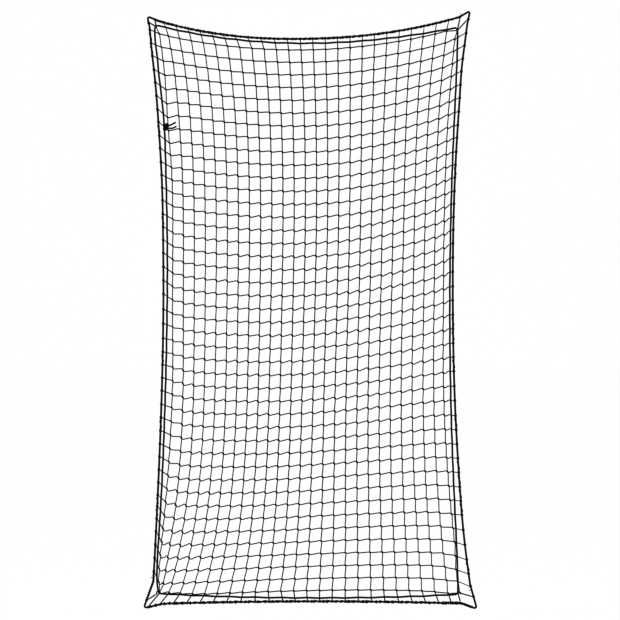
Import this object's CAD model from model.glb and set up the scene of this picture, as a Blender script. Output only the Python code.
"""A hung pitching target net: knotted netting lashed to a border rope, with a draw cord round its edge."""
import random
from bisect import bisect_left
from math import acos, cos, exp, log, pi, radians, sin, tan

import bpy
from mathutils import Matrix, Vector


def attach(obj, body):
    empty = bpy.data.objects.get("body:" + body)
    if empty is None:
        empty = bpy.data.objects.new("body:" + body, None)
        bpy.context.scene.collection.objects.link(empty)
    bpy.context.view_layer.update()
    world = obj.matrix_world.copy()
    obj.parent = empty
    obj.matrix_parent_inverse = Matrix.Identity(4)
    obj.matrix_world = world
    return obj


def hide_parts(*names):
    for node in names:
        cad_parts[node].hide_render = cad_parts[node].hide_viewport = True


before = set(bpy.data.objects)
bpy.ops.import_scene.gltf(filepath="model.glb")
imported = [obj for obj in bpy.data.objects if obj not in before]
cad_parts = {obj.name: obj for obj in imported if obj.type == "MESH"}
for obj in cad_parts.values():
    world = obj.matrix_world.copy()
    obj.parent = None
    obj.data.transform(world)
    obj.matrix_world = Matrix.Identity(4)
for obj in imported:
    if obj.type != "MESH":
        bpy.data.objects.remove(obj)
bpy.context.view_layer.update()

# ---- Camera, floor and light ----
# The panel hangs a foot over a pale studio floor and is looked at square on, from six metres, at half its
# own height. One broad lamp stands at the left and a weaker one at the right, in an even white room.
PANEL_MIDDLE = Vector((0.58, 0, -1.05))
CAMERA_PLACE = Vector((0.578, -6.0, -1.048))
LENS = 96.77
FLOOR_HEIGHT = -2.42
FLOOR_SIZE = 60
# The floor is lit mostly by itself, so that its brightness is the same everywhere and as white as the room
FLOOR_GREY = 0.08
FLOOR_GLOW = 0.918

bpy.ops.object.select_all(action="DESELECT")
bpy.ops.object.camera_add(location=CAMERA_PLACE, rotation=(radians(90), 0, 0))
camera = bpy.context.object
camera.name = "camera"
camera.data.lens = LENS
bpy.context.scene.camera = camera

bpy.ops.mesh.primitive_plane_add(size=FLOOR_SIZE, location=(PANEL_MIDDLE.x, 0, FLOOR_HEIGHT))
studio_floor = bpy.context.object
studio_floor.name = "studio_floor"
floor_paint = bpy.data.materials.new("pale_floor_paint")
floor_paint.use_nodes = True
paint = floor_paint.node_tree.nodes["Principled BSDF"].inputs
paint["Base Color"].default_value = (FLOOR_GREY, FLOOR_GREY, FLOOR_GREY, 1)
paint["Emission Color"].default_value = (1, 1, 1, 1)
paint["Emission Strength"].default_value = FLOOR_GLOW
paint["Roughness"].default_value = 0.9
paint["Specular IOR Level"].default_value = 0
studio_floor.data.materials.append(floor_paint)
bpy.ops.object.transform_apply(location=True, rotation=True, scale=True)

lamps = (
    ("lamp_left", Vector((-2.6, -4.2, -1.2)), 2.4, 110),
    ("lamp_right", Vector((3.6, -3.6, -1.3)), 2.0, 45),
)
for name, place, size, watts in lamps:
    bpy.ops.object.light_add(type="AREA", location=place)
    lamp = bpy.context.object
    lamp.name = name
    lamp.data.size = size
    lamp.data.energy = watts
    lamp.rotation_euler = (PANEL_MIDDLE - place).to_track_quat("-Z", "Y").to_euler()

world = bpy.data.worlds.new("studio")
world.use_nodes = True
room = world.node_tree.nodes["Background"].inputs
room["Color"].default_value = (1, 1, 1, 1)
room["Strength"].default_value = 1.0
bpy.context.scene.world = world
bpy.context.scene.view_settings.view_transform = "Standard"
bpy.context.scene.view_settings.gamma = 0.50

# ---- Cut tails of the draw cord ----
# The two ends of the draw cord, cut off a thumb's length past its knot. Each is a short run of limp cord
# of black plaited polyester that lies forward of the netting, its cut sealed with a flame.
CORD_THICK = 0.005
# Points of a mesh that are nearer to each other than this are made one, and faces that meet at less than
# this angle are shaded as one
MERGE_WITHIN = 0.000001
SMOOTH_BELOW = radians(60)


def drawn_cord(name, runs, thick, resolution, closed=False, profile=None):
    """Cords along runs of points, as one mesh. U counts metres along a cord and V goes once round it.

    A point may have a fourth value. It is the turn of the profile there, or without a profile the share
    of its thickness that the cord has there.
    """
    lengths = {}
    bpy.ops.object.select_all(action="DESELECT")
    for number, run in enumerate(runs):
        curve = bpy.data.curves.new(name, "CURVE")
        curve.dimensions = "3D"
        curve.use_fill_caps = True
        if profile:
            curve.bevel_mode = "OBJECT"
            curve.bevel_object = profile
        else:
            curve.bevel_depth = thick / 2
            curve.bevel_resolution = resolution
        spline = curve.splines.new("POLY")
        spline.points.add(len(run) - 1)
        for point, place in zip(spline.points, run):
            point.co = (*place[:3], 1)
            if len(place) > 3 and profile:
                point.tilt = place[3]
            elif len(place) > 3:
                point.radius = place[3]
        spline.use_cyclic_u = closed
        part = bpy.data.objects.new(f"{name}_{number}", curve)
        bpy.context.collection.objects.link(part)
        part.select_set(True)
        bpy.context.view_layer.objects.active = part
        places = [Vector(place[:3]) for place in run]
        lengths[part.name] = sum((b - a).length for a, b in zip(places, places[1:]))
    bpy.ops.object.convert(target="MESH")
    for part in bpy.context.selected_objects:
        for corner in part.data.uv_layers[0].data:
            corner.uv[0] *= lengths[part.name]
    if len(runs) > 1:
        bpy.ops.object.join()
    piece = bpy.context.object
    piece.name = piece.data.name = name
    bpy.ops.object.mode_set(mode="EDIT")
    bpy.ops.mesh.select_all(action="SELECT")
    bpy.ops.mesh.remove_doubles(threshold=MERGE_WITHIN)
    bpy.ops.mesh.normals_make_consistent(inside=False)
    bpy.ops.object.mode_set(mode="OBJECT")
    bpy.ops.object.shade_smooth_by_angle(angle=SMOOTH_BELOW)
    return piece


def eased(points, steps):
    """A smooth run through the given points, with some steps from each to the next."""
    points = [Vector(p) for p in points]
    longer = [points[0] * 2 - points[1]] + points + [points[-1] * 2 - points[-2]]
    run = []
    for a, b, c, d in zip(longer, longer[1:], longer[2:], longer[3:]):
        slope = c - a
        bend = 2 * a - 5 * b + 4 * c - d
        twist = 3 * b - a - 3 * c + d
        for k in range(steps):
            t = k / steps
            run.append(0.5 * ((2 * b) + slope * t + bend * t * t + twist * t ** 3))
    return run + [points[-1]]


def node(tree, kind, inputs, **settings):
    """A shader node, with its inputs set to a value or linked to another node's output."""
    made = tree.nodes.new(kind)
    for key, value in settings.items():
        setattr(made, key, value)
    for key, value in inputs.items():
        if isinstance(value, bpy.types.NodeSocket):
            tree.links.new(value, made.inputs[key])
        else:
            made.inputs[key].default_value = value
    return made


def sums(tree, operation, *values):
    """The output of a Math node."""
    return node(tree, "ShaderNodeMath", dict(enumerate(values)), operation=operation).outputs[0]


def effect(name, settings, results):
    """An empty shader group with number inputs and outputs, what it is given and what it is to put out."""
    group = bpy.data.node_groups.new(name, "ShaderNodeTree")
    for label, value in settings.items():
        socket = group.interface.new_socket(label, in_out="INPUT", socket_type="NodeSocketFloat")
        socket.default_value = value
    for label in results:
        group.interface.new_socket(label, in_out="OUTPUT", socket_type="NodeSocketFloat")
    return group, group.nodes.new("NodeGroupInput").outputs, group.nodes.new("NodeGroupOutput").inputs


def ramp(tree, value, start, end):
    """0 up to one value and 1 from another, with an even rise in between."""
    return node(tree, "ShaderNodeMapRange", {"Value": value, "From Min": start, "From Max": end}).outputs[0]


def waves(tree, value):
    """Rounded ridges, one for each whole number."""
    return sums(tree, "ABSOLUTE", sums(tree, "SINE", sums(tree, "MULTIPLY", value, pi)))


def unrolled_skin(tree):
    """The way along a cord, in metres, and the share of the way round it."""
    along_and_round = tree.nodes.new("ShaderNodeUVMap").outputs[0]
    skin = node(tree, "ShaderNodeSeparateXYZ", {"Vector": along_and_round}).outputs
    return skin["X"], skin["Y"]


# Use and weather: dust caught in the fibres in patches, and lint that stands off them in fine flecks
weathering, given, wanted = effect("weathering", {"Dust": 0.5, "Lint": 0.5}, ("Dust", "Lint"))
own_place = weathering.nodes.new("ShaderNodeTexCoord").outputs["Object"]
broad = node(weathering, "ShaderNodeTexNoise", {"Vector": own_place, "Scale": 7.0, "Detail": 4.0})
fine = node(weathering, "ShaderNodeTexNoise", {"Vector": own_place, "Scale": 900.0, "Detail": 2.0})
patches = ramp(weathering, broad.outputs[0], 0.42, 0.7)
flecks = ramp(weathering, fine.outputs[0], 0.55, 0.72)
weathering.links.new(sums(weathering, "MULTIPLY", patches, given["Dust"]), wanted["Dust"])
weathering.links.new(sums(weathering, "MULTIPLY", flecks, given["Lint"]), wanted["Lint"])

# A plaited sheath: tows climb round the cord both ways, over and under each other
plaited, given, wanted = effect("plaited_sheath", {"Pitch": 0.004, "Strands": 4.0}, ("Height", "Gap"))
metres_along, round_share = unrolled_skin(plaited)
climb = sums(plaited, "DIVIDE", metres_along, given["Pitch"])
round_it = sums(plaited, "MULTIPLY", round_share, given["Strands"])
right_hand = sums(plaited, "ADD", climb, round_it)
left_hand = sums(plaited, "SUBTRACT", climb, round_it)
right_tow = waves(plaited, right_hand)
left_tow = waves(plaited, left_hand)
cell = sums(plaited, "ADD", sums(plaited, "FLOOR", right_hand), sums(plaited, "FLOOR", left_hand))
on_top = sums(plaited, "FLOORED_MODULO", cell, 2.0)
right_over = sums(plaited, "MULTIPLY", right_tow, sums(plaited, "POWER", left_tow, 0.35))
left_over = sums(plaited, "MULTIPLY", left_tow, sums(plaited, "POWER", right_tow, 0.35))
crowns = node(plaited, "ShaderNodeMix", {0: on_top, 2: left_over, 3: right_over}).outputs[0]
plaited.links.new(crowns, wanted["Height"])
plaited.links.new(ramp(plaited, crowns, 0.45, 0.1), wanted["Gap"])

# Colour of the gaps between strands
GAP_BLACK = (0.002, 0.002, 0.002, 1)


def fibre(name, lay, lay_settings, black, dusty, dust_and_lint, relief, roughness):
    """A matt black fibre: its lay as relief, darker in the gaps, and grey with dust on the strands."""
    material = bpy.data.materials.new(name)
    material.use_nodes = True
    tree = material.node_tree
    surface = tree.nodes["Principled BSDF"]
    strands = tree.nodes.new("ShaderNodeGroup")
    strands.node_tree = lay
    for key, value in lay_settings.items():
        strands.inputs[key].default_value = value
    use = tree.nodes.new("ShaderNodeGroup")
    use.node_tree = weathering
    for key, value in zip(("Dust", "Lint"), dust_and_lint):
        use.inputs[key].default_value = value
    grey = sums(tree, "MAXIMUM", use.outputs["Dust"], use.outputs["Lint"])
    # Factor, first and second colour of a Mix node are its inputs 0, 6 and 7
    worn = node(tree, "ShaderNodeMix", {0: grey, 6: black, 7: dusty}, data_type="RGBA").outputs[2]
    gap = strands.outputs["Gap"]
    shaded = node(tree, "ShaderNodeMix", {0: gap, 6: worn, 7: GAP_BLACK}, data_type="RGBA").outputs[2]
    tree.links.new(shaded, surface.inputs["Base Color"])
    clean, dusted = roughness
    matt = node(tree, "ShaderNodeMapRange", {"Value": grey, "To Min": clean, "To Max": dusted}).outputs[0]
    tree.links.new(matt, surface.inputs["Roughness"])
    ridges = strands.outputs["Height"]
    bump = node(tree, "ShaderNodeBump", {"Strength": 0.8, "Distance": relief, "Height": ridges}).outputs[0]
    tree.links.new(bump, surface.inputs["Normal"])
    surface.inputs["Specular IOR Level"].default_value = 0.3
    surface.inputs["Sheen Weight"].default_value = 0.08
    surface.inputs["Sheen Roughness"].default_value = 0.5
    return material


cord_sheath = fibre(
    "black_plaited_cord", plaited, {"Pitch": 0.0045, "Strands": 4.0},
    black=(0.012, 0.012, 0.013, 1), dusty=(0.07, 0.068, 0.065, 1), dust_and_lint=(0.35, 0.5),
    relief=0.0007, roughness=(0.55, 0.85),
)

# Each tail's route, from where it leaves the knot to its cut end
tails = (
    ("cord_tail_upper", ((0.06524, -0.00545, -0.38771), (0.07424, -0.00545, -0.38371),
                         (0.08424, -0.00545, -0.37871), (0.09524, -0.00545, -0.37271))),
    ("cord_tail_lower", ((0.06859, -0.00545, -0.39371), (0.07759, -0.00545, -0.39471),
                         (0.08759, -0.00545, -0.39271), (0.09759, -0.00545, -0.38771))),
)
for name, route in tails:
    run = eased(route, 6)
    tail = drawn_cord(f"plaited_{name}", [run], CORD_THICK, 3)
    tail.data.materials.append(cord_sheath)
    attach(tail, "root")
    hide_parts(name)

# ---- Border rope ----
# One three-strand rope of black polyester, laid right-handed, goes once round the panel. The netting bows it
# in on every side, and a hook bends it sharply at each corner. Its ends lie side by side at the bottom right.
ROPE_THICK = 0.0064
ROPE_STRANDS = 3
# Length of rope in which a strand climbs once round it
ROPE_LAY = 0.019
ROPE_STEP = 0.0025
# Radius of the rope between two strands, and how far a strand's crown stands out from there
FURROW_RADIUS = 0.0025
STRAND_RISE = 0.0009
SECTION_POINTS = 12
# Inner bends of the four corners, each with the number of the side after it, and the steps they are drawn in
EYE_RADII = (0.006, 0.0042, 0.006, 0.006)
EYE_STEPS = 12
BOW_STEPS = 120
# The lines that rope and cords follow have their points this far apart
FINE_STEP = 0.001

TOP, RIGHT, BOTTOM, LEFT = range(4)
# Tips of the panel, and the two shoulders beside each of them as steps from it, on the sides after and before
tips = [Vector(p) for p in ((-0.0088, 0.0105), (1.1542, 0.0295), (1.1792, -2.1245), (-0.0208, -2.1215))]
shoulders_after = [Vector(p) for p in ((0.038, -0.017), (-0.010, -0.049), (-0.053, 0.020), (0.035, 0.097))]
shoulders_before = [Vector(p) for p in ((0.009, -0.036), (-0.038, -0.023), (-0.024, 0.087), (0.069, 0.016))]
# How far each side is bowed in, how much of that leans towards its start, and how square the bow is
side_bows = (0.0715, 0.0575, 0.008, 0.043)
side_leans = (0.06, 0, 0, -0.30)
side_fullness = (2.2, 2.2, 2, 2)
# Where the long sides stand off their even bow: height of each stretch, its reach and its shift to the right
side_humps = (
    (),
    ((-0.177, 0.09, -0.0029), (-1.847, 0.16, -0.0023)),
    (),
    ((-0.12, 0.07, -0.0018), (-0.598, 0.14, 0.0014)),
)


def bowed(start, end, bow, lean, t, fullness=2):
    """A shallow bow between two points of the panel, deepest at the side that it leans to."""
    along = (end - start).normalized()
    depth = bow * (1 - abs(2 * t - 1) ** fullness) * (1 + lean * (1 - 2 * t))
    return start.lerp(end, t) + Vector((along.y, -along.x)) * depth


def rounded(before, tip, after, radius, steps):
    """Points round a corner of the panel that is bent to a radius."""
    to_before = (before - tip).normalized()
    to_after = (after - tip).normalized()
    half = acos(to_before.dot(to_after)) / 2
    middle = tip + (to_before + to_after).normalized() * radius / sin(half)
    first = tip + to_before * radius / tan(half) - middle
    last = tip + to_after * radius / tan(half) - middle
    sweep = pi - 2 * half
    return [middle + (first * sin(sweep * (1 - k / steps)) + last * sin(sweep * k / steps)) / sin(sweep)
            for k in range(steps + 1)]


def humps(at, *each):
    """Local shifts along a line: the middle of each hump, its reach and its height."""
    return sum(height * exp(-((at - middle) / reach) ** 2) for middle, reach, height in each)


def border_run(side):
    """Centre line of one side of the border, from the middle of one corner's bend to that of the next."""
    following = (side + 1) % 4
    tip, next_tip = tips[side], tips[following]
    start = tip + shoulders_after[side]
    end = next_tip + shoulders_before[following]
    bend = rounded(tip + shoulders_before[side], tip, start, EYE_RADII[side], EYE_STEPS)
    next_bend = rounded(end, next_tip, next_tip + shoulders_after[following], EYE_RADII[following], EYE_STEPS)
    run = bend[EYE_STEPS // 2:]
    for k in range(BOW_STEPS + 1):
        p = bowed(start, end, side_bows[side], side_leans[side], k / BOW_STEPS, side_fullness[side])
        run.append(p + Vector((humps(p.y, *side_humps[side]), 0)))
    return run + next_bend[:EYE_STEPS // 2 + 1]


def spaced(points, step):
    """The same run with its points a fixed step apart."""
    run, left = [points[0]], step
    for a, b in zip(points, points[1:]):
        length, gone = (b - a).length, 0.0
        while length - gone >= left:
            gone += left
            run.append(a.lerp(b, gone / length))
            left = step
        left -= length - gone
    return run


sides = [spaced(border_run(side), FINE_STEP) for side in range(4)]

# The rope starts on the bottom side and, having gone round, ends in front of its start, past the corner again
ROPE_START = 0.066
ROPE_END = 0.104
STEP_ASIDE_AT = 0.053
STEP_ASIDE_OVER = 0.0115
bottom_right = tips[BOTTOM]
overlap_side = Vector((0, -0.0060, 0.0026))


def bottom_count(from_corner):
    """Number of the first point of the bottom side that is further from its right corner than this."""
    return next(k for k, p in enumerate(sides[BOTTOM]) if p.x < bottom_right.x - from_corner)


def overlap_clear(from_corner):
    """How far the rope's end has stepped aside of its start, from 0 to 1."""
    share = min(1, max(0, (from_corner - STEP_ASIDE_AT) / STEP_ASIDE_OVER))
    return 0.5 - 0.5 * cos(pi * share)


def off_plane(p, y):
    """A point of the panel's plane, moved off it to a depth."""
    return Vector((p.x, y, p.y))


bottom_rest = sides[BOTTOM][bottom_count(ROPE_START):]
loop = [off_plane(p, 0) for p in bottom_rest + sides[LEFT] + sides[TOP] + sides[RIGHT]]
overlap = [off_plane(p, 0) + overlap_side * overlap_clear(bottom_right.x - p.x)
           for p in sides[BOTTOM][:bottom_count(ROPE_END)]]
rope_run = spaced(loop + overlap, ROPE_STEP)

bpy.ops.curve.primitive_bezier_circle_add(radius=ROPE_THICK / 2)
strand_profile = bpy.context.object
strand_profile.name = "strand_profile"
bpy.ops.object.mode_set(mode="EDIT")
bpy.ops.curve.select_all(action="SELECT")
bpy.ops.curve.spline_type_set(type="POLY")
bpy.ops.curve.delete(type="VERT")
bpy.ops.object.mode_set(mode="OBJECT")
outline = strand_profile.data.splines.new("POLY")
outline.points.add(SECTION_POINTS - 1)
outline.use_cyclic_u = True
for k, point in enumerate(outline.points):
    turn = -2 * pi * k / SECTION_POINTS
    reach = FURROW_RADIUS + STRAND_RISE * abs(cos(ROPE_STRANDS / 2 * turn)) ** 0.8
    point.co = (reach * cos(turn), reach * sin(turn), 0, 1)
strand_profile.data.dimensions = "2D"

rope_points = [(*p, 2 * pi * ROPE_STEP * k / ROPE_LAY) for k, p in enumerate(rope_run)]
border_rope = drawn_cord("border_rope", [rope_points], ROPE_THICK, 0, profile=strand_profile)
bpy.data.objects.remove(strand_profile, do_unlink=True)

# Laid yarn: ridges that climb round a strand one way, and finer ones that lean against them
laid, given, wanted = effect("laid_yarn", {"Pitch": 0.01, "Strands": 3.0, "Fineness": 6.0}, ("Height", "Gap"))
metres_along, round_share = unrolled_skin(laid)
climb = sums(laid, "DIVIDE", metres_along, given["Pitch"])
ridge = waves(laid, sums(laid, "MULTIPLY", sums(laid, "ADD", climb, round_share), given["Strands"]))
against = sums(laid, "SUBTRACT", round_share, sums(laid, "MULTIPLY", climb, 0.6))
yarn_count = sums(laid, "MULTIPLY", sums(laid, "MULTIPLY", against, given["Strands"]), given["Fineness"])
yarns = sums(laid, "SINE", sums(laid, "MULTIPLY", yarn_count, 2 * pi))
height = sums(laid, "MULTIPLY_ADD", yarns, 0.08, sums(laid, "POWER", ridge, 0.6))
laid.links.new(height, wanted["Height"])
laid.links.new(ramp(laid, ridge, 0.35, 0.05), wanted["Gap"])

rope_yarn = fibre(
    "black_laid_rope", laid, {"Pitch": 0.012, "Strands": 15.0, "Fineness": 1.0},
    black=(0.014, 0.014, 0.015, 1), dusty=(0.10, 0.098, 0.094, 1), dust_and_lint=(0.45, 0.7),
    relief=0.0004, roughness=(0.6, 0.9),
)
border_rope.data.materials.append(rope_yarn)
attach(border_rope, "root")
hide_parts("border_rope_top", "border_rope_right", "border_rope_bottom", "border_rope_left",
            "corner_eye_top_left", "corner_eye_top_right", "corner_eye_bottom_right",
            "corner_eye_bottom_left", "border_rope_end")

# ---- Netting ----
# Knotted black nylon twine, 27 meshes across and 44 down. Level twines lie in front of the upright ones, and
# each crossing is drawn tight in a slanted knot. The panel hangs in a bow and closes up at its edges.
NET_THICK = 0.0034
# The upright twines carry the panel and are drawn thinner than the level ones
ROW_THICK = NET_THICK + 0.0001
COLUMN_THICK = NET_THICK - 0.0002
# Thickness of a twine where it is hitched and where it hangs slack, as shares of the net's
HITCH_SHARE = 0.7
SLACK_SHARE = 1.2
# How far a tight turn of twine bites into what it goes round
BITE = 0.0003
MESHES_ACROSS = 27
MESHES_DOWN = 44
# Width over which the meshes close up where the draw cord gathers them, and how near a knot comes to it
GATHER = 0.0216
KNOT_CLEAR = 0.0052
# Depths at which the level and the upright twines lie
ROW_Y = -0.00145
COLUMN_Y = 0.00145
# Steps of the draw cord's even bow, and its bend at each corner
CORD_STEPS = 300
CORD_BEND_RADIUS = 0.010
CORD_BEND_STEPS = 10
CORD_BEND_REACH = 0.013
shake = random.Random(7)


def lerp(a, b, t):
    """A value between two others, by its share of the way."""
    return a + (b - a) * t


# The draw cord's line just inside the border, which gathers the netting: corners, bows and leans as above
cord_steps_in = ((0.029, -0.032), (-0.045, -0.060), (-0.069, 0.053), (0.054, 0.053))
cord_tips = [tip + Vector(step) for tip, step in zip(tips, cord_steps_in)]
cord_bows = (0.058, 0.028, -0.011, 0.037)
cord_leans = (0.1, 0, 0, -0.5)
bowed_cords = []
for side in range(4):
    start, end = cord_tips[side], cord_tips[(side + 1) % 4]
    bowed_cords.append([bowed(start, end, cord_bows[side], cord_leans[side], k / CORD_STEPS)
                        for k in range(CORD_STEPS + 1)])


def beside_corner(distance, reach):
    """A bulge that is highest at a distance from a corner."""
    return distance / reach * exp(1 - distance / reach)


def settled_cord(side):
    """The cord as it has settled beside its even bow: stiff next to its corners and slack in between."""
    points = bowed_cords[side]
    length = (points[-1] - points[0]).length
    run = []
    along = (points[-1] - points[0]).normalized()
    for k, p in enumerate(points):
        t = k / CORD_STEPS
        from_start = k / CORD_STEPS * length
        from_end = length - k / CORD_STEPS * length
        if side == TOP:
            inward = 0.0036 * sin(pi * t)
        elif side == RIGHT:
            corners = beside_corner(from_start, 0.2) + beside_corner(from_end, 0.2)
            inward = 0.0013 * sin(pi * t) - 0.0047 * corners
        elif side == BOTTOM:
            inward = -0.0036 * (1 - (2 * t - 1) ** 4)
        else:
            # At the left it stands out a little above its own knot, and is drawn in beside it
            inward = -0.0086 * beside_corner(from_start, 0.1) - 0.0054 * beside_corner(from_end, 0.06)
            inward += humps(from_end, (0.19, 0.054, -0.0018), (0.386, 0.108, 0.0025))
        run.append(p + Vector((along.y, -along.x)) * inward)
    return run


settled_cords = [settled_cord(side) for side in range(4)]
cord_lines = []
for side in range(4):
    before, cord, after = settled_cords[side - 1], settled_cords[side], settled_cords[(side + 1) % 4]
    start, end = cord_tips[side], cord_tips[(side + 1) % 4]
    clear = [p for p in cord if (p - start).length > CORD_BEND_REACH and (p - end).length > CORD_BEND_REACH]
    bend = rounded(before[-5], start, cord[4], CORD_BEND_RADIUS, CORD_BEND_STEPS)
    next_bend = rounded(cord[-5], end, after[4], CORD_BEND_RADIUS, CORD_BEND_STEPS)
    half = CORD_BEND_STEPS // 2
    cord_lines.append(spaced(bend[half:] + clear + next_bend[:half + 1], FINE_STEP))


ACROSS, UP = 0, 1


def nearest(line, axis, value):
    """Number of the point of a line that comes nearest to a place across or up."""
    return min(range(len(line)), key=lambda k: abs(line[k][axis] - value))


def passing(line, axis, value):
    """The point of a line that comes nearest to a place across or up."""
    return line[nearest(line, axis, value)]


# The four edges of the net as it would hang from them evenly: where each starts and ends, and how far its
# middle hangs in from there
LEFT_ENDS, LEFT_HANG = (-0.0380, -0.0830), 0.1017
RIGHT_ENDS, RIGHT_HANG = (1.1706, 1.1601), 0.0608
TOP_ENDS, TOP_HANG = (0.0027, 0.0225), 0.0796
BOTTOM_ENDS, BOTTOM_HANG = (-2.1337, -2.1099), 0.0216


def hung_evenly(u, v):
    """Where a crossing hangs between the four edges, by its share of the way across and down."""
    wide = 1 - abs(2 * v - 1) ** 3
    x = lerp(lerp(*LEFT_ENDS, v) + LEFT_HANG * wide, lerp(*RIGHT_ENDS, v) - RIGHT_HANG * wide, u)
    top = lerp(*TOP_ENDS, u) - TOP_HANG * (1 - abs(2 * u - 1) ** 1.94)
    bottom = lerp(*BOTTOM_ENDS, u) + BOTTOM_HANG * (1 - abs(2 * u - 1) ** 2.15)
    # Rows come a little closer together near the top and bottom, and sag in between
    down = v + 0.018 * (v - 0.5 - 0.5 * (2 * v - 1) ** 5)
    return x, lerp(top, bottom, down) - 4 * v * (1 - v) * (0.0736 * u * (1 - u) - 0.0313 * u)


def gathered(x, z, edge):
    """How far the draw cord pushes the meshes at the sides in, most at the top and bottom edges."""
    left = passing(bowed_cords[LEFT], UP, z).x
    right = passing(bowed_cords[RIGHT], UP, z).x
    return GATHER * edge * (log(1 + exp((left - x) / GATHER)) - log(1 + exp((x - right) / GATHER)))


def settled(u, v):
    """How far unevenly settled slack moves a crossing across and up, in broad waves over the panel."""
    across = 0.0094 * u ** 3 * v ** 6 - 0.0032 * u * u * cos(3 * pi * v)
    across += 0.0019 - 0.0034 * (2 * v - 1) ** 6 - 0.0019 * cos(2 * pi * u) * sin(2 * pi * v)
    across += 0.0026 * cos(pi * u) * sin(pi * v)
    across += sin(2 * pi * u) * (0.0008 * cos(3 * pi * v) - 0.0025)
    up = -0.0010 - 0.0028 * (2 * u - 1) ** 3 - 0.0035 * sin(pi * u) * sin(pi * v)
    up -= 0.0013 * cos(3 * pi * u) * sin(2 * pi * v) + 0.0009 * sin(3 * pi * v)
    return across, up


def drawn_outwards(column, v):
    """How far the outermost knots are drawn across and up, to their hitches and beside the cord's knot."""
    from_left, from_right = exp(1 - column), exp(column - MESHES_ACROSS + 1)
    across = 0.0068 * cos(6.83 * (v - 0.82)) * from_left ** 0.33 + 0.0022 * from_left ** 0.5
    across -= humps(v, (0.17, 0.07, 0.0065)) * from_left
    across -= (0.0072 * exp(-v / 0.09) + 0.0072 / (1 + exp((0.66 - v) / 0.035))) * from_left ** 3
    across += (0.0151 - 0.0216 * sin(pi * v) + 0.0061 * (2 * v - 1)) * from_right ** 1.3
    up = -humps(v, (0.96, 0.05, 0.0060)) * from_left ** 2
    up += (0.0180 * v - humps(v, (0.16, 0.09, 0.0202))) * from_left ** 1.5
    up -= (0.0061 * (1 - sin(pi * v)) + 0.0122 * (2 * v - 1)) * from_right
    return across, up


def knot_place(column, row):
    """Where a crossing of the netting hangs in the panel, clear of the draw cord by the knot's own width."""
    u, v = column / MESHES_ACROSS, row / MESHES_DOWN
    x, z = hung_evenly(u, v)
    x += gathered(x, z, abs(2 * v - 1))
    for across, up in (settled(u, v), drawn_outwards(column, v)):
        x += across
        z += up
    left = passing(cord_lines[LEFT], UP, z).x
    right = passing(cord_lines[RIGHT], UP, z).x
    x = min(max(x, left + KNOT_CLEAR), right - KNOT_CLEAR)
    lowest = passing(cord_lines[BOTTOM], ACROSS, x).y + KNOT_CLEAR
    highest = passing(cord_lines[TOP], ACROSS, x).y - KNOT_CLEAR
    return Vector((x, min(max(z, lowest), highest)))


knots = {(column, row): knot_place(column, row)
         for column in range(1, MESHES_ACROSS) for row in range(1, MESHES_DOWN)}
# In each corner the last mesh is drawn out through the cord's bend, where one more knot closes it. A corner
# has the number of the side after it.
corner_knot_steps = ((0.003, -0.006), (-0.0015, -0.0125), (0.009, 0.0045), (0.0045, 0.003))
corner_knots = [tip + Vector(step) for tip, step in zip(cord_tips, corner_knot_steps)]
knots[MESHES_ACROSS - 1, 1] = corner_knots[RIGHT]
knots[MESHES_ACROSS - 1, MESHES_DOWN - 1] = corner_knots[BOTTOM]
knots[MESHES_ACROSS - 1, MESHES_DOWN - 2] = Vector((1.1095, -2.0250))
knots[1, MESHES_DOWN - 1] = knots[2, MESHES_DOWN - 1] = corner_knots[LEFT]


def rope_frame(side, at):
    """Centre of the border rope at a distance along a side, and the way in from there."""
    k = min(max(round(at / FINE_STEP), 1), len(sides[side]) - 2)
    along = (sides[side][k + 1] - sides[side][k - 1]).normalized()
    return sides[side][k] + along * (at - FINE_STEP * k), Vector((along.y, -along.x))


def round_rope(side, at, angle, reach):
    """A point off the rope's skin. The angle goes from the panel's inside over the front to the outside."""
    centre, inward = rope_frame(side, at)
    way = Vector((inward.x * cos(angle), -sin(angle), inward.y * cos(angle)))
    middle = off_plane(centre, 0)
    from_corner = bottom_right.x - centre.x
    if side == BOTTOM and from_corner < ROPE_START:
        middle += overlap_side * overlap_clear(from_corner)
    if side == BOTTOM and ROPE_START <= from_corner < ROPE_END and way.dot(overlap_side) > 0:
        middle += overlap_side
    return middle + way * (ROPE_THICK / 2 + reach)


OVER_FRONT, OVER_BACK = 1, -1


def hooked(side, at, way_round):
    """The end of a net twine that is drawn tight round the rope, over its front or over its back first."""
    reach = HITCH_SHARE * NET_THICK / 2 - BITE
    angles = [way_round * radians(angle) for angle in range(60, 261, 25)]
    return [(*round_rope(side, at, angle, reach), HITCH_SHARE) for angle in angles]


# Distances along each side at which the twines are hitched: evenly spaced from the first, but for stretches
# that have slipped along the rope and a little scatter by hand
TOP_FIRST, TOP_PITCH = 0.0560, 0.0444
BOTTOM_FIRST, BOTTOM_PITCH = 0.0394, 0.04748
LEFT_FIRST, LEFT_PITCH = -0.0388, 0.04752
RIGHT_FIRST, RIGHT_PITCH = -0.0525, 0.04972
SCATTER = 0.0015
hitches = [{} for side in range(4)]
for column in range(2, MESHES_ACROSS - 1):
    level = TOP_FIRST + TOP_PITCH * (column - 2) + humps(column, (8.3, 3, -0.0105), (2, 9, -0.0036))
    hitches[TOP][column] = nearest(sides[TOP], ACROSS, level) * FINE_STEP
for column in range(3, MESHES_ACROSS - 1):
    level = BOTTOM_FIRST + BOTTOM_PITCH * (column - 3) + humps(column, (11.9, 2.7, 0.0130), (23, 2.5, 0.0048))
    hitches[BOTTOM][column] = nearest(sides[BOTTOM], ACROSS, level) * FINE_STEP
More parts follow.
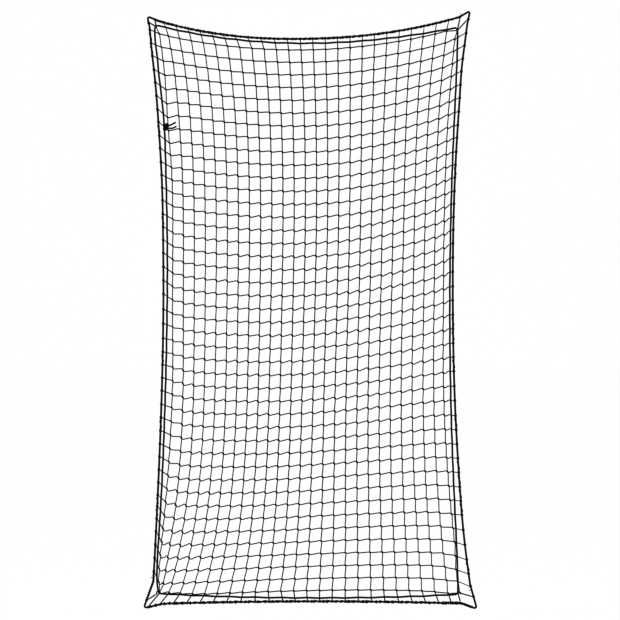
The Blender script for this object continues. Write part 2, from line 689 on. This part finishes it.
for row in range(1, MESHES_DOWN - 1):
    slack = 0.018 * sin(pi * (row - 20) / 20) if 20 < row < 40 else 0
    level = LEFT_FIRST - LEFT_PITCH * (row - 1) - slack + shake.uniform(-SCATTER, SCATTER)
    level += humps(row, (15.5, 3.5, 0.0034), (24, 1.8, -0.0072), (38, 1.3, 0.0045))
    hitches[LEFT][row] = nearest(sides[LEFT], UP, level) * FINE_STEP
for row in range(2, MESHES_DOWN - 1):
    share = (row - 2) / 40
    level = RIGHT_FIRST - RIGHT_PITCH * (row - 2) + 0.1324 * share * (1 - share) - 0.0065 * share ** 2
    level += humps(row, (4.5, 2, 0.0040), (17.5, 3.5, 0.0085), (32, 4.5, -0.0085),
                   (39.5, 1.2, -0.0045), (42, 0.5, 0.0075))
    hitches[RIGHT][row] = nearest(sides[RIGHT], UP, level + shake.uniform(-SCATTER, SCATTER)) * FINE_STEP

# Where each twine crosses the draw cord on its way from its last knot to its hitch
crossings = [{} for side in range(4)]
last_knots = (1, MESHES_ACROSS - 1, MESHES_DOWN - 1, 1)
for side, last in enumerate(last_knots):
    for number, at in hitches[side].items():
        knot = knots[(number, last) if side in (TOP, BOTTOM) else (last, number)]
        to_hitch = rope_frame(side, at)[0] - knot
        crossings[side][number] = min(cord_lines[side], key=lambda p: abs((p - knot).cross(to_hitch)))

TWINE_STEPS = 10


def level_twine(row):
    """One level twine: hitched at both ends and knotted at every upright twine, between which it dips."""
    run = []
    if row in hitches[LEFT]:
        run = hooked(LEFT, hitches[LEFT][row], OVER_FRONT)[::-1]
        run.append(off_plane(crossings[LEFT][row], ROW_Y))
    down = row / MESHES_DOWN
    dip = 0.0030 * sin(pi * row / MESHES_DOWN) ** 0.7
    places = [knots[column, row] for column in range(1, MESHES_ACROSS)]
    for column, (a, b) in enumerate(zip(places, places[1:])):
        if a == b:
            continue
        # The slack gathers in the lower rows at the left
        rise = dip * shake.uniform(0.7, 1.3) * (1 + 9 * down ** 8 * exp(-(column + 1) / 5))
        sag = 0.0075 * down ** 8 if column == 0 else 0
        for k in range(TWINE_STEPS):
            t = k / TWINE_STEPS
            lift = -rise * (sin(2 * pi * t) + 0.35 * sin(4 * pi * t)) - sag * sin(pi * t)
            run.append(off_plane(a.lerp(b, t) + Vector((0, lift)), ROW_Y))
    run.append(off_plane(places[-1], ROW_Y))
    if row in hitches[RIGHT]:
        crossing = crossings[RIGHT][row]
        for t in (0.1, 0.2, 0.3, 0.45, 0.6, 0.8):
            last_dip = Vector((0, -dip * sin(2 * pi * t)))
            run.append(off_plane(places[-1].lerp(crossing, t) + last_dip, ROW_Y))
        run += [off_plane(crossing, ROW_Y)] + hooked(RIGHT, hitches[RIGHT][row], OVER_FRONT)
    return run


def upright_twine(column):
    """One upright twine, which comes to each knot at its left and leaves it at its right."""
    run = []
    if column in hitches[TOP]:
        run = hooked(TOP, hitches[TOP][column], OVER_BACK)[::-1]
        run.append(off_plane(crossings[TOP][column], COLUMN_Y))
    elif column == 1:
        run = [off_plane(corner_knots[TOP], COLUMN_Y)]
    places = [knots[column, row] for row in range(1, MESHES_DOWN)]
    for row, (a, b) in enumerate(zip(places, places[1:])):
        run.append(off_plane(a, COLUMN_Y))
        aside = shake.uniform(0.0004, 0.0010) + 0.0014 * (row / MESHES_DOWN) ** 3
        for t in (0.1, 0.5, 0.9):
            run.append(off_plane(a.lerp(b, t) + Vector((aside * cos(pi * t), 0)), COLUMN_Y))
    run.append(off_plane(places[-1], COLUMN_Y))
    if column in hitches[BOTTOM]:
        hook = hooked(BOTTOM, hitches[BOTTOM][column], OVER_BACK)
        crossing = off_plane(crossings[BOTTOM][column], COLUMN_Y)
        near_hook = crossing.lerp(Vector(hook[0][:3]), 0.9)
        run += [(*crossing, SLACK_SHARE), (*near_hook, SLACK_SHARE)] + hook
    return run


net_twine = fibre(
    "black_netting_twine", laid, {"Pitch": 0.007, "Strands": 3.0, "Fineness": 3.0},
    black=(0.014, 0.014, 0.015, 1), dusty=(0.08, 0.078, 0.075, 1), dust_and_lint=(0.3, 0.5),
    relief=0.0003, roughness=(0.55, 0.85),
)
level_twines = [level_twine(row) for row in range(1, MESHES_DOWN)]
upright_twines = [upright_twine(column) for column in range(1, MESHES_ACROSS)]
netting_rows = drawn_cord("netting_rows", level_twines, ROW_THICK, 1)
netting_columns = drawn_cord("netting_columns", upright_twines, COLUMN_THICK, 1)

# One drawn knot: a single strand wound three times through itself, then copied to every crossing
KNOT_STEPS = 16
KNOT_STRAND = 0.0024
KNOT_WIDE, KNOT_DEEP, KNOT_HIGH = 0.0008, 0.0021, 0.0015
KNOT_SLANT = -38
winding = []
for k in range(KNOT_STEPS):
    t = 2 * pi * k / KNOT_STEPS
    across, up = sin(t) + 2 * sin(2 * t), cos(t) - 2 * cos(2 * t)
    winding.append((KNOT_WIDE * across, KNOT_DEEP * sin(3 * t), KNOT_HIGH * up))
first_knot = drawn_cord("drawn_knot", [winding], KNOT_STRAND, 0, closed=True)


def knot_at(place, slant, width, height):
    """A copy of the drawn knot at a crossing, slanted by some degrees and drawn up more or less tight."""
    knot = first_knot.copy()
    knot.data = first_knot.data.copy()
    bpy.context.collection.objects.link(knot)
    turned = Matrix.Translation(off_plane(place, 0)) @ Matrix.Rotation(radians(slant), 4, "Y")
    knot.matrix_world = turned @ Matrix.Diagonal((width, 1, height, 1))
    return knot


def made_one(pieces):
    """Pieces joined to the first of them, with their places in the mesh."""
    bpy.ops.object.select_all(action="DESELECT")
    for piece in pieces:
        piece.select_set(True)
    bpy.context.view_layer.objects.active = pieces[0]
    bpy.ops.object.transform_apply(location=True, rotation=True, scale=True)
    bpy.ops.object.join()
    return bpy.context.object


tied = []
for place in knots.values():
    if place not in corner_knots:
        slant = KNOT_SLANT + shake.uniform(-9, 9)
        tied.append(knot_at(place, slant, shake.uniform(0.92, 1.1), shake.uniform(0.9, 1.08)))
netting_knots = made_one(tied)
netting_knots.name = netting_knots.data.name = "netting_knots"

# Two twines are pulled out of each corner, one in front of the cord's bend and one behind it, and hitched to
# the rope: how far before the corner and after it. At the bottom left one goes round the bend in a small eye,
# and at the bottom right one goes straight to the rope.
CORNER_HITCHES = ((0.0205, 0.0270), (0.039, 0.027), (0.042, 0.058), (0.013, 0.027))
CORNER_NAMES = ("top_left", "top_right", "bottom_right", "bottom_left")
BEND_Y = 0.0040
small_eye = ((0.0004, 0.008), (-0.005, 0.0075), (-0.008, 0.0025), (-0.0075, -0.002))
net_pieces = [(netting_rows, "net_rows"), (netting_columns, "net_columns"), (netting_knots, "net_knots")]
for number, (name, place) in enumerate(zip(CORNER_NAMES, corner_knots)):
    before, after = CORNER_HITCHES[number]
    bend = cord_lines[number][:8] + cord_lines[number - 1][-8:]
    side_before = (number - 1) % 4
    before_end = len(sides[side_before]) * FINE_STEP - before
    runs = []
    for way_round, side, at in ((OVER_FRONT, side_before, before_end), (OVER_BACK, number, after)):
        hook = hooked(side, at, way_round)
        first = Vector(hook[0][:3])
        to_hook = Vector((first.x, first.z)) - place
        run = [off_plane(place, ROW_Y * way_round)]
        if number == LEFT and way_round == OVER_BACK:
            run += [off_plane(cord_tips[LEFT] + Vector(step), BEND_Y) for step in small_eye]
        elif number != BOTTOM or way_round == OVER_BACK:
            bend_at = min(bend, key=lambda p: abs((p - place).cross(to_hook)))
            run.append(off_plane(bend_at, -BEND_Y * way_round))
        run = eased(run + [first.lerp(run[-1], 0.25)], 4)
        runs.append([(*p, SLACK_SHARE) for p in run] + hook)
        hitches[side]["corner", number, way_round] = at
    mesh = drawn_cord(f"pulled_mesh_{name}", runs, NET_THICK, 1)
    net_pieces.append((made_one([mesh, knot_at(place, KNOT_SLANT, 1, 1)]), f"corner_mesh_{name}"))
bpy.data.objects.remove(first_knot, do_unlink=True)

for piece, replaced in net_pieces:
    piece.data.materials.clear()
    piece.data.materials.append(net_twine)
    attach(piece, "root")
    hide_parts(replaced)

# ---- Lashing and seizing ----
# Thin black twine wound along the border rope by hand: turns on each side of every hitch of the net, and on
# to the next in between. Where the rope's ends lie side by side, close bands of it bind them together.
LASH_THICK = 0.0020
# Longest steps of a winding round the rope and along it, and how far its turns stand off at most
TURN_STEP = radians(36)
LENGTH_STEP = 0.006
LOOSENESS = 0.0003


def wound(side, stations):
    """A run of twine round the rope through stations: distance along, angle and extra reach."""
    run = []
    for (at, angle, extra), (next_at, next_angle, next_extra) in zip(stations, stations[1:]):
        steps = max(1, round(abs(next_angle - angle) / TURN_STEP), round((next_at - at) / LENGTH_STEP))
        for k in range(steps):
            t = k / steps
            reach = LASH_THICK / 2 - BITE + lerp(extra, next_extra, t) + shake.uniform(0, LOOSENESS)
            run.append(round_rope(side, lerp(at, next_at, t), lerp(angle, next_angle, t), reach))
    return run


lash_twine = fibre(
    "black_lashing_twine", laid, {"Pitch": 0.006, "Strands": 3.0, "Fineness": 3.0},
    black=(0.012, 0.012, 0.013, 1), dusty=(0.08, 0.078, 0.075, 1), dust_and_lint=(0.35, 0.6),
    relief=0.0003, roughness=(0.55, 0.85),
)
# Turns of a hitch reach this far along the rope on each side of the net's twine. Between the inner two the
# lashing passes at the side of the rope that the twine leaves free.
HITCH_HALF = 0.0034
INNER_HALF = 0.0024
TURN_IN, TURN_OUT = 2.5 * pi, 1.5 * pi
FREE_ANGLE, FREE_HALF = radians(23), radians(25)
# Whole turns from one hitch to the next on each side. On the top and bottom they are pushed into two bunches,
# which stand out by one of three reaches.
turns_between = ((5, 6, 7, 8, 9), (2, 2, 2, 3), (7, 8, 9, 11, 13), (2, 2, 2, 3))
bunch_reaches = {TOP: (0, 0, 0.0007), BOTTOM: (0.0006, 0.0014, 0.0022)}
BUNCHED_FROM = 0.03
BUNCH_TURN_HALF = 0.0005
# The rope is served with close turns at both bottom corners, at the right one as far as its overlap
served_corner = [(0.013, -26 * pi, 0), (0.016, -24.5 * pi, 0), (0.046, -6 * pi, 0)]
SERVED_TURNS = 11
# Cut ends that stand off the rope: distance along its side and angle round it
top_length, right_length = len(sides[TOP]) * FINE_STEP, len(sides[RIGHT]) * FINE_STEP
cut_ends = {TOP: (top_length - 0.030, 190), LEFT: (0.112, 180), RIGHT: (right_length - 0.068, 0)}


def bunched(last_at, at, last_angle, turns, reaches):
    """Stations of two bunches of turns between one hitch and the next."""
    stations = []
    for share in (shake.uniform(0.2, 0.4), shake.uniform(0.6, 0.8)):
        half = BUNCH_TURN_HALF * turns
        extra = shake.choice(reaches)
        middle_turn = 0.5 * (share > 0.5) + 0.25
        for step in (-1, 0, 1):
            angle = last_angle + 2 * pi * turns * (middle_turn + 0.21 * step)
            stations.append((lerp(last_at, at, share) + step * half, angle, extra * (step == 0)))
    return stations


for side, side_name in enumerate(("top", "right", "bottom", "left")):
    stations = list(served_corner) if side == BOTTOM else []
    angle = 0.0
    for twine, at in sorted(hitches[side].items(), key=lambda item: item[1]):
        # A corner's twine says its way round. All others go over the back at the top and bottom
        over_back = twine[-1] == OVER_BACK if isinstance(twine, tuple) else side in (TOP, BOTTOM)
        free_side = angle + (FREE_ANGLE if over_back else -FREE_ANGLE)
        if stations and side in bunch_reaches and at - stations[-1][0] > BUNCHED_FROM:
            last_at, last_angle = stations[-1][:2]
            turns = (angle - TURN_IN - last_angle) / (2 * pi)
            stations += bunched(last_at, at, last_angle, turns, bunch_reaches[side])
        stations += [
            (at - HITCH_HALF, angle - TURN_IN, 0),
            (at - INNER_HALF, free_side - FREE_HALF, 0),
            (at + INNER_HALF, free_side + FREE_HALF, 0),
            (at + HITCH_HALF, angle + TURN_OUT, 0),
        ]
        angle += 2 * pi * shake.choice(turns_between[side])
        if side == LEFT and len(stations) == 4:
            angle += 2 * pi * SERVED_TURNS
    runs = [wound(side, stations)]
    if side in cut_ends:
        at, angle = cut_ends[side]
        runs.append([round_rope(side, at, radians(angle), reach) for reach in (0, 0.003, 0.0065)])
    lashing = drawn_cord(f"wound_twine_{side_name}", runs, LASH_THICK, 1)
    lashing.data.materials.append(lash_twine)
    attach(lashing, "root")
    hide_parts(f"lashing_{side_name}")

# The seizing is one wide band and two narrow ones: share of the overlap where each sits, and its two ends
SEIZING_PITCH = 0.0022
bands = []
for share, first, last in ((0.2, -0.0044, 0.0044), (0.8, -0.0078, -0.0050), (0.8, 0.0050, 0.0078)):
    middle = bottom_count(lerp(ROPE_START, ROPE_END, share)) * FINE_STEP
    turns = round((last - first) / SEIZING_PITCH)
    bands.append(wound(BOTTOM, [(middle + first, 0, 0), (middle + last, 2 * pi * turns + 1, 0)]))
seizing = drawn_cord("rope_seizing", bands, LASH_THICK, 1)
seizing.data.materials.append(lash_twine)
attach(seizing, "root")
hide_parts("border_seizing")

# ---- Draw cord ----
# One cord of black plaited polyester, woven in front of and behind the outermost twines all round, just
# inside the border. Its two ends meet near the top of the left side and are tied to each other.
CORD_STEP = 0.0025
# How much its worn fuzz adds to its thickness, and how far its middle passes from that of a twine
CORD_FUZZ = 0.0008
WEAVE = 0.0044
# Length at each end that leaves the cord's line on its way to the knot
END_LEAD = 0.004

# Depth of the cord at each twine that it crosses, by the number of its line's point there
cord_depths = []
for side in range(4):
    line = cord_lines[side]
    twine_y = COLUMN_Y if side in (TOP, BOTTOM) else ROW_Y
    steps = MESHES_ACROSS if side in (TOP, BOTTOM) else MESHES_DOWN
    stations = [(0, 0.0), (len(line) - 1, 0.0)]
    for number, place in crossings[side].items():
        step = number if side in (TOP, RIGHT) else steps - number
        stations.append((line.index(place), twine_y - WEAVE * cos(pi * step)))
    cord_depths.append(sorted(stations))


def cord_point(side, k):
    """Centre of the draw cord: it eases from one twine's front to the next one's back."""
    stations = cord_depths[side]
    after = min(max(bisect_left(stations, (k, -1)), 1), len(stations) - 1)
    (a, y_a), (b, y_b) = stations[after - 1], stations[after]
    return off_plane(cord_lines[side][k], lerp(y_a, y_b, 0.5 - 0.5 * cos(pi * (k - a) / max(1, b - a))))


# Where the cord's two ends go into its knot
upper_end = Vector((0.05245, -0.00537, -0.38254))
lower_end = Vector((0.05422, -0.00387, -0.40518))
whole = [cord_point(LEFT, k) for k, p in enumerate(cord_lines[LEFT]) if p.y > upper_end.z + END_LEAD]
for side in (TOP, RIGHT, BOTTOM):
    whole += [cord_point(side, k) for k in range(len(cord_lines[side]))]
whole += [cord_point(LEFT, k) for k, p in enumerate(cord_lines[LEFT]) if p.y < lower_end.z - END_LEAD]
cord_path = [upper_end] + spaced(whole, CORD_STEP)[1:] + [lower_end]
draw_cord = drawn_cord("draw_cord", [cord_path], CORD_THICK + CORD_FUZZ, 2)
draw_cord.data.materials.append(cord_sheath)
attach(draw_cord, "root")
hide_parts("draw_cord_top", "draw_cord_right", "draw_cord_bottom", "draw_cord_left_lower",
            "draw_cord_left_upper", "cord_bend_top_left", "cord_bend_top_right", "cord_bend_bottom_right",
            "cord_bend_bottom_left")

# ---- Draw cord's knot ----
# Both ends of the draw cord are turned together through an overhand knot and drawn tight. The upper end comes
# in at the left and the lower one from below, and both leave at the right as the cut tails.
knot_middle = Vector((0.0600, -0.0062, -0.3900))
# Radius of its ring, and of the two strands' way round each other in it, and what worn fuzz adds to each
KNOT_RING = 0.0065
KNOT_BUNDLE = 0.0036
KNOT_FUZZ = 0.0004


def knot_turn(turn, strand):
    """A point of one of the two strands that run round the knot together, by degrees round its ring."""
    around = radians(turn)
    within = radians(1.5 * turn + 90 * strand)
    out = KNOT_RING + KNOT_BUNDLE * cos(within)
    # The ring is pulled a little narrow and askew
    across, up = 0.92 * out * cos(around), 1.15 * out * sin(around)
    return knot_middle + Vector((across + 0.12 * up, KNOT_BUNDLE * sin(within), up + 0.28 * across))


upper_tail, lower_tail = [Vector(route[0]) for name, route in tails]
upper_strand = [upper_end, upper_end.lerp(knot_turn(185, 0), 0.5)]
upper_strand += [knot_turn(turn, 0) for turn in range(190, 700, 15)]
upper_strand += [upper_tail - Vector((0.004, 0, 0.003)), upper_tail]
lower_strand = [lower_end, lower_end.lerp(knot_turn(290, 1), 0.5)]
lower_strand += [knot_turn(turn, 1) for turn in range(290, 650, 15)]
lower_strand += [lower_tail - Vector((0.005, 0, 0)), lower_tail]
strands = [eased(upper_strand, 3), eased(lower_strand, 3)]
draw_cord_knot = drawn_cord("overhand_knot", strands, CORD_THICK + KNOT_FUZZ, 2)
draw_cord_knot.data.materials.append(cord_sheath)
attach(draw_cord_knot, "root")
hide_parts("draw_cord_knot")
